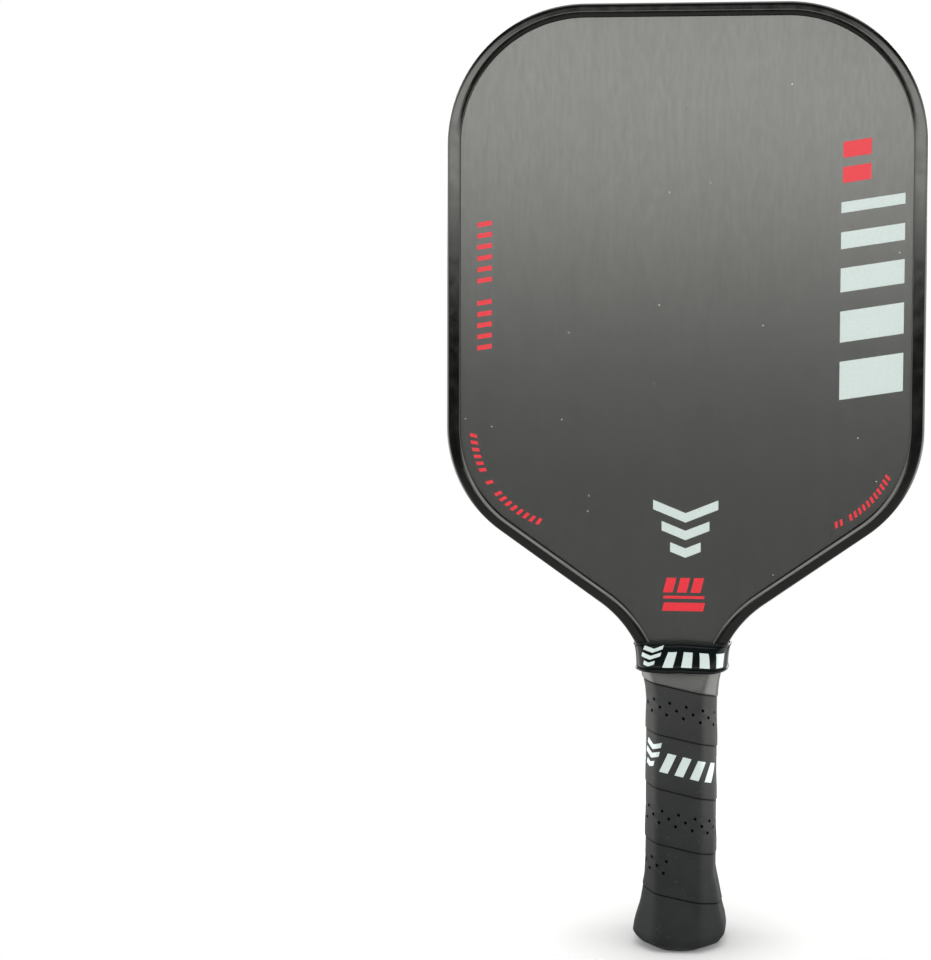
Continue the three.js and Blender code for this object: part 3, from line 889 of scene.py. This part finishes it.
def cap_ring(z, half, chamfer):
    """An eight-sided outline of the cap at one height."""
    angle = 2 * np.pi * np.arange(CAP_STEPS) / CAP_STEPS
    radius = ring_radius(angle, half, half - 0.1, chamfer, CAP_SOFTNESS)
    return np.stack([radius * np.cos(angle), radius * np.sin(angle), np.full(CAP_STEPS, z)], 1)


def round_ring(z, radius):
    angle = 2 * np.pi * np.arange(CAP_STEPS) / CAP_STEPS
    return np.stack([radius * np.cos(angle), radius * np.sin(angle), np.full(CAP_STEPS, z)], 1)


def lathe(name, rings, material, replaced):
    """Rings in order, closed at both ends by their own outlines."""
    count = len(rings[0])
    faces = ring_faces(len(rings), count, False)
    faces.append(tuple(range(count)))
    faces.append(tuple(range((len(rings) - 1) * count, len(rings) * count)))
    add_piece(name, np.vstack(rings), faces, material, replaced, 50)


def make_cap():
    """The flared cap, from the round hole in its end, out over its lip and up inside it."""
    hole = [(1.05, -0.05), (1.0, 0), (0.3, 0), (0.08, 0.1), (0, 0.35)]
    rings = [round_ring(z, DISC_ROOM + wider) for z, wider in hole]
    rings.append(cap_ring(*CAP_END))
    rings += [cap_ring(z, half, half - LIP_FLAT) for z, half in CAP_LIP]
    rings += [cap_ring(*ring) for ring in [*CAP_FLARE, *CAP_INSIDE]]
    lathe("butt_cap_moulding", rings, CAP_PLASTIC, ["butt_cap"])


def make_disc():
    """A plain end disc with a bevelled rim and two shallow turned rings."""
    rim = [(0.9, 0.2), (0.75, 0), (0.3, 0), (0.08, 0.15), (0.02, 0.45)]
    rings = [round_ring(z, DISC_RADIUS - narrower) for z, narrower in rim]
    for radius in (8.6, 5.2):
        groove = [(0.02, 0.5), (0.16, 0.25), (0.16, -0.25), (0.02, -0.5)]
        rings += [round_ring(z, radius + wider) for z, wider in groove]
    rings.append(round_ring(0.02, 1.0))
    lathe("butt_cap_end_disc", rings, CAP_PLASTIC, ["butt_cap_disc"])


make_cap()
make_disc()

# ---------------------------------------------------------------- printed marks

INK_STEP = 0.6  # longest edge of a mark's mesh where its surface bends
INK_HEIGHT = 0.05
INK_ROOT = 0.03  # how far a mark reaches into the surface under it


def bar(low_left, low_right, rise, lean=0.0):
    """A slanted bar: its lower edge, and the step from there to its upper edge."""
    lower = np.array([low_left, low_right], float)
    return lower, lower + (lean, rise)


def chevron(tip, half_width, rise, thickness):
    """A chevron with its tip at the bottom. A negative rise turns it over."""
    x, z = tip
    lower = np.array([(x - half_width, z + rise), (x, z), (x + half_width, z + rise)], float)
    return lower, lower + (0, thickness)


def tick(centre, radius, angle, width, tall):
    """A short bar that stands on an arc and leans along it."""
    out = np.array([math.cos(angle), math.sin(angle)])
    along = np.array([-out[1], out[0]])
    foot = np.array(centre) + radius * out
    lower = np.array([foot - along * width / 2, foot + along * width / 2])
    return lower, lower - out * tall + along * 0.3 * tall


def refine(line, step):
    """More points along a line, so that none of its pieces is longer than a step."""
    made = [line[0]]
    for a, b in zip(line, line[1:]):
        pieces = max(1, math.ceil(np.linalg.norm(b - a) / step))
        made += [a + (b - a) * k / pieces for k in range(1, pieces + 1)]
    return np.array(made)


def grid_border(rows, columns):
    """The row and column of every point along a grid's edge, in order round it."""
    border = [(0, c) for c in range(columns)]
    border += [(r, columns - 1) for r in range(1, rows)]
    border += [(rows - 1, c) for c in range(columns - 2, -1, -1)]
    border += [(r, 0) for r in range(rows - 2, 0, -1)]
    return border


def print_marks(name, shapes, place, material, step=INK_STEP):
    """Thin flakes of ink on a surface. Place turns two flat coordinates and a height above
    the surface into a point."""
    points, faces, total = [], [], 0
    for lower, upper in shapes:
        low, high = refine(lower, step), refine(upper, step)
        tall = max(1, math.ceil(np.linalg.norm(upper[0] - lower[0]) / step))
        share = np.linspace(0, 1, tall + 1)[:, None, None]
        flat = low[None] + (high - low)[None] * share
        rows, columns = flat.shape[:2]
        layer = rows * columns
        for height in (INK_HEIGHT, -INK_ROOT):
            points.append(place(flat[..., 0], flat[..., 1], height).reshape(-1, 3))
        for r in range(rows - 1):
            for c in range(columns - 1):
                for start in (total, total + layer):
                    here = start + r * columns + c
                    faces.append((here, here + 1, here + columns + 1, here + columns))
        border = [total + r * columns + c for r, c in grid_border(rows, columns)]
        for here, there in zip(border, border[1:] + border[:1]):
            faces.append((here, there, there + layer, here + layer))
        total += 2 * layer
    return add_piece(name, np.vstack(points), faces, material)


def on_front(x, z, height):
    return np.stack([x, np.full_like(x, -FACE_Y - height), z], -1)


def on_back(x, z, height):
    return np.stack([-x, np.full_like(x, FACE_Y + height), z], -1)


def side_bars():
    """Five slanted bars up the right side, thinner and thinner."""
    shapes = []
    z = 234.0
    for thickness in (16, 13, 10, 7, 4.5):
        shapes.append(bar((65.8, z), (92.3, z + 4), thickness))
        z += thickness + 8
    return shapes


def throat_chevrons():
    """Three stacked chevrons above the throat."""
    return [
        chevron((1.45, 181.5), 13.9, 5.6, 4.0),
        chevron((1.45, 174.0), 10.2, 4.1, 4.0),
        chevron((1.45, 166.5), 6.5, 2.6, 4.0),
    ]


def red_marks():
    """Two bars above the pale ones, short bars up the left side, a small stack of bars at
    the throat, and ticks round both lower corners."""
    shapes = [bar((66.3, z), (78.1, z + 1.8), 6.6) for z in (324.5, 334.9)]
    left_column = [254 + 4.75 * k for k in range(12) if k != 5]
    shapes += [bar((-88.4, z), (-82.1, z + 1), 2.0) for z in left_column]
    shapes += [bar((x, 151.6), (x + 4.2, 151.6), 6.3, 1.6) for x in (-8.0, -2.1, 3.8)]
    shapes += [bar((-8.0, 149.0), (9.6, 149.0), 1.2, 0.3), bar((-8.4, 143.7), (9.2, 143.7), 3.6, 0.9)]
    left, right = (-LOWER_CENTRE[0], SIDE_END_Z), LOWER_CENTRE
    for k in range(17):
        if k not in (6, 8):
            shapes.append(tick(left, 44.2, math.radians(184.5 + 4.1 * k), 1.5, 3.0))
    for k in range(14):
        if k != 2:
            shapes.append(tick(right, 45.2, math.radians(-66.5 + 3.0 * k), 1.2, 2.6))
    return shapes


def make_face_marks():
    for side, place in (("front", on_front), ("back", on_back)):
        pale = side_bars() + throat_chevrons()
        print_marks(f"{side}_pale_marks", pale, place, PALE_INK, 6)
        print_marks(f"{side}_red_marks", red_marks(), place, RED_INK, 6)


GRIP_MARK_TURN = 2
GRIP_MARK_UP = 11.6
GRIP_MARK_PITCH = 23.5  # how far the strip climbs in that turn
strip_slope = math.atan(GRIP_MARK_PITCH / grip_walk.round)


def on_grip(along, across, height):
    """Along runs to the right down the strip, and across runs up over its width."""
    distance = along * math.cos(strip_slope) + across * math.sin(strip_slope)
    turn = GRIP_MARK_TURN - distance / grip_walk.round
    up = GRIP_MARK_UP + across / math.cos(strip_slope)
    return grip_point(turn, up, strip_surface(turn, up) + height)


collar_walk = Walk(*COLLAR_WALL[2][1:], COLLAR_SOFTNESS)
COLLAR_MARK_Z = 123.5


def on_collar(along, across, height):
    z = COLLAR_MARK_Z + across
    waist = np.interp(z, *np.transpose(COLLAR_WAIST))
    return collar_point(collar_walk.at(along), z, waist + height)


def mark_row(left, right, tall, lean):
    """Three stacked chevrons and four slanted bars in a row."""
    wide = right - left
    emblem = 0.22 * wide
    middle = left + emblem / 2
    thickness = 0.26 * tall
    tips = (0, 0.46 * tall)
    shapes = [chevron((middle, z), emblem / 2, 0.22 * tall, thickness) for z in tips]
    shapes.append(chevron((middle, -0.46 * tall), emblem / 3.4, 0.13 * tall, thickness))
    step = 0.76 * wide / 4
    for k in range(4):
        x = left + 0.27 * wide + k * step
        shapes.append(bar((x, -tall / 2), (x + 0.56 * step, -tall / 2), tall, lean))
    return shapes


make_face_marks()
print_marks("collar_pale_marks", mark_row(-17, 21, 5.8, 1.2), on_collar, PALE_INK)
print_marks("grip_pale_marks", mark_row(-17, 18, 8.4, 1.8), on_grip, PALE_INK)

# ---------------------------------------------------------------- studio

FLOOR_RADIUS = 190
FLOOR_MIDDLE = 158  # behind the paddle
FLOOR_FADE = (20, 100)  # from the paddle's foot, the stretch over which the painted shadow round the foot fades and the floor grows paler
WINDOW_STRENGTH = 5.6
WINDOW_FOOT = (4.6, 9.0)  # degrees above level over which the long soft light comes in
WINDOW_HEAD = (16.0, 21.5)  # and over which it ends
WINDOW_SIDES = (60.0, 10.0)  # degrees to either side over which it comes in
SIDE_STRENGTH = 3.6
SIDE_FOOT = (-38.0, -20.0)  # degrees above level over which the side lights come in
SIDE_HEAD = (28.0, 45.0)  # and over which they end
SIDE_EDGES = (38.0, 62.0)  # degrees away from straight in front or behind
GROUND_STRENGTH = 0.45  # a weak glow from below
GROUND_HEAD = (-8.0, -3.0)  # degrees above level over which it ends
CEILING_STRENGTH = 2.6
CEILING_FOOT = (52.0, 66.0)  # degrees above level over which the ceiling light comes in
ROOM_LIGHT = 0.08  # from every direction
LIGHT_TINT = (0.995, 1.0, 0.94)


def make_floor():
    """A round pale sheet under the paddle and behind it, with a painted shadow that makes it less
    bright close to the paddle.
    """
    steps = 96
    angle = 2 * np.pi * np.arange(steps) / steps
    ring = [FLOOR_RADIUS * np.cos(angle), FLOOR_MIDDLE + FLOOR_RADIUS * np.sin(angle), 0 * angle]
    mesh = bpy.data.meshes.new("floor")
    mesh.from_pydata((np.transpose(ring) * MM).tolist(), [], [tuple(range(steps))])
    look = Nodes("floor", Roughness=0.9)
    look.shader.inputs["Specular IOR Level"].default_value = 0.1
    away = look.node("ShaderNodeVectorMath", {0: look.position()}, operation="LENGTH")
    uneven = look.fit(look.noise(60.0, 2.0), 0.0, 1.0, 0.0, 8.0)
    reach = look.math("ADD", away.outputs["Value"], uneven)
    # Painted shadow: darker near the paddle's foot, paler further out.
    near, far = (0.70, 0.695, 0.735), (0.92, 0.915, 0.965)
    look.color(look.blend(look.fit(reach, *FLOOR_FADE), near, far))
    mesh.materials.append(look.material)
    floor = bpy.data.objects.new("floor", mesh)
    scene.collection.objects.link(floor)


def make_studio():
    """Long soft lights in front and behind, lights at both sides, a ceiling light, a glow
    from below and a plain backdrop."""
    world = bpy.data.worlds.new("studio")
    world.use_nodes = True
    scene.world = world
    tree = world.node_tree
    tree.nodes.clear()
    split = tree.nodes.new("ShaderNodeSeparateXYZ")
    here = tree.nodes.new("ShaderNodeTexCoord").outputs["Generated"]
    tree.links.new(here, split.inputs[0])

    def combine(operation, first, second=0.0):
        made = tree.nodes.new("ShaderNodeMath")
        made.operation = operation
        for socket, value in zip(made.inputs, (first, second)):
            if isinstance(value, bpy.types.NodeSocket):
                tree.links.new(value, socket)
            else:
                socket.default_value = value
        return made.outputs[0]

    def edge(value, start, end, strength=1.0):
        """Rises softly from 0 to a strength, or falls where start is above end."""
        made = tree.nodes.new("ShaderNodeMapRange")
        made.interpolation_type = "SMOOTHSTEP"
        low, high = sorted((start, end))
        made.inputs["From Min"].default_value = low
        made.inputs["From Max"].default_value = high
        made.inputs["To Min"].default_value = 0.0 if start < end else strength
        made.inputs["To Max"].default_value = strength if start < end else 0.0
        tree.links.new(value, made.inputs["Value"])
        return made.outputs["Result"]

    def sines(degrees):
        return [math.sin(math.radians(v)) for v in degrees]

    depth, up = combine("ABSOLUTE", split.outputs["Y"]), split.outputs["Z"]
    width = combine("ABSOLUTE", split.outputs["X"])
    window = edge(depth, *(math.cos(math.radians(v)) for v in WINDOW_SIDES))
    window = combine("MULTIPLY", window, edge(up, *sines(WINDOW_FOOT), WINDOW_STRENGTH))
    window = combine("MULTIPLY", window, edge(up, *reversed(sines(WINDOW_HEAD))))
    sides = edge(width, *sines(SIDE_EDGES), SIDE_STRENGTH)
    sides = combine("MULTIPLY", sides, edge(up, *sines(SIDE_FOOT)))
    sides = combine("MULTIPLY", sides, edge(up, *reversed(sines(SIDE_HEAD))))
    total = combine("ADD", window, sides)
    total = combine("ADD", total, edge(up, *sines(CEILING_FOOT), CEILING_STRENGTH))
    total = combine("ADD", total, edge(up, *reversed(sines(GROUND_HEAD)), GROUND_STRENGTH))
    total = combine("ADD", total, ROOM_LIGHT)

    studio = tree.nodes.new("ShaderNodeBackground")
    tree.links.new(total, studio.inputs["Strength"])
    backdrop = tree.nodes.new("ShaderNodeBackground")
    choose = tree.nodes.new("ShaderNodeMixShader")
    seen = tree.nodes.new("ShaderNodeLightPath").outputs["Is Camera Ray"]
    output = tree.nodes.new("ShaderNodeOutputWorld")
    studio.inputs["Color"].default_value = (*LIGHT_TINT, 1)
    backdrop.inputs["Color"].default_value = (1, 1, 1, 1)
    tree.links.new(seen, choose.inputs[0])
    tree.links.new(studio.outputs[0], choose.inputs[1])
    tree.links.new(backdrop.outputs[0], choose.inputs[2])
    tree.links.new(choose.outputs[0], output.inputs["Surface"])
    scene.view_settings.view_transform = "Standard"


make_floor()
make_studio()
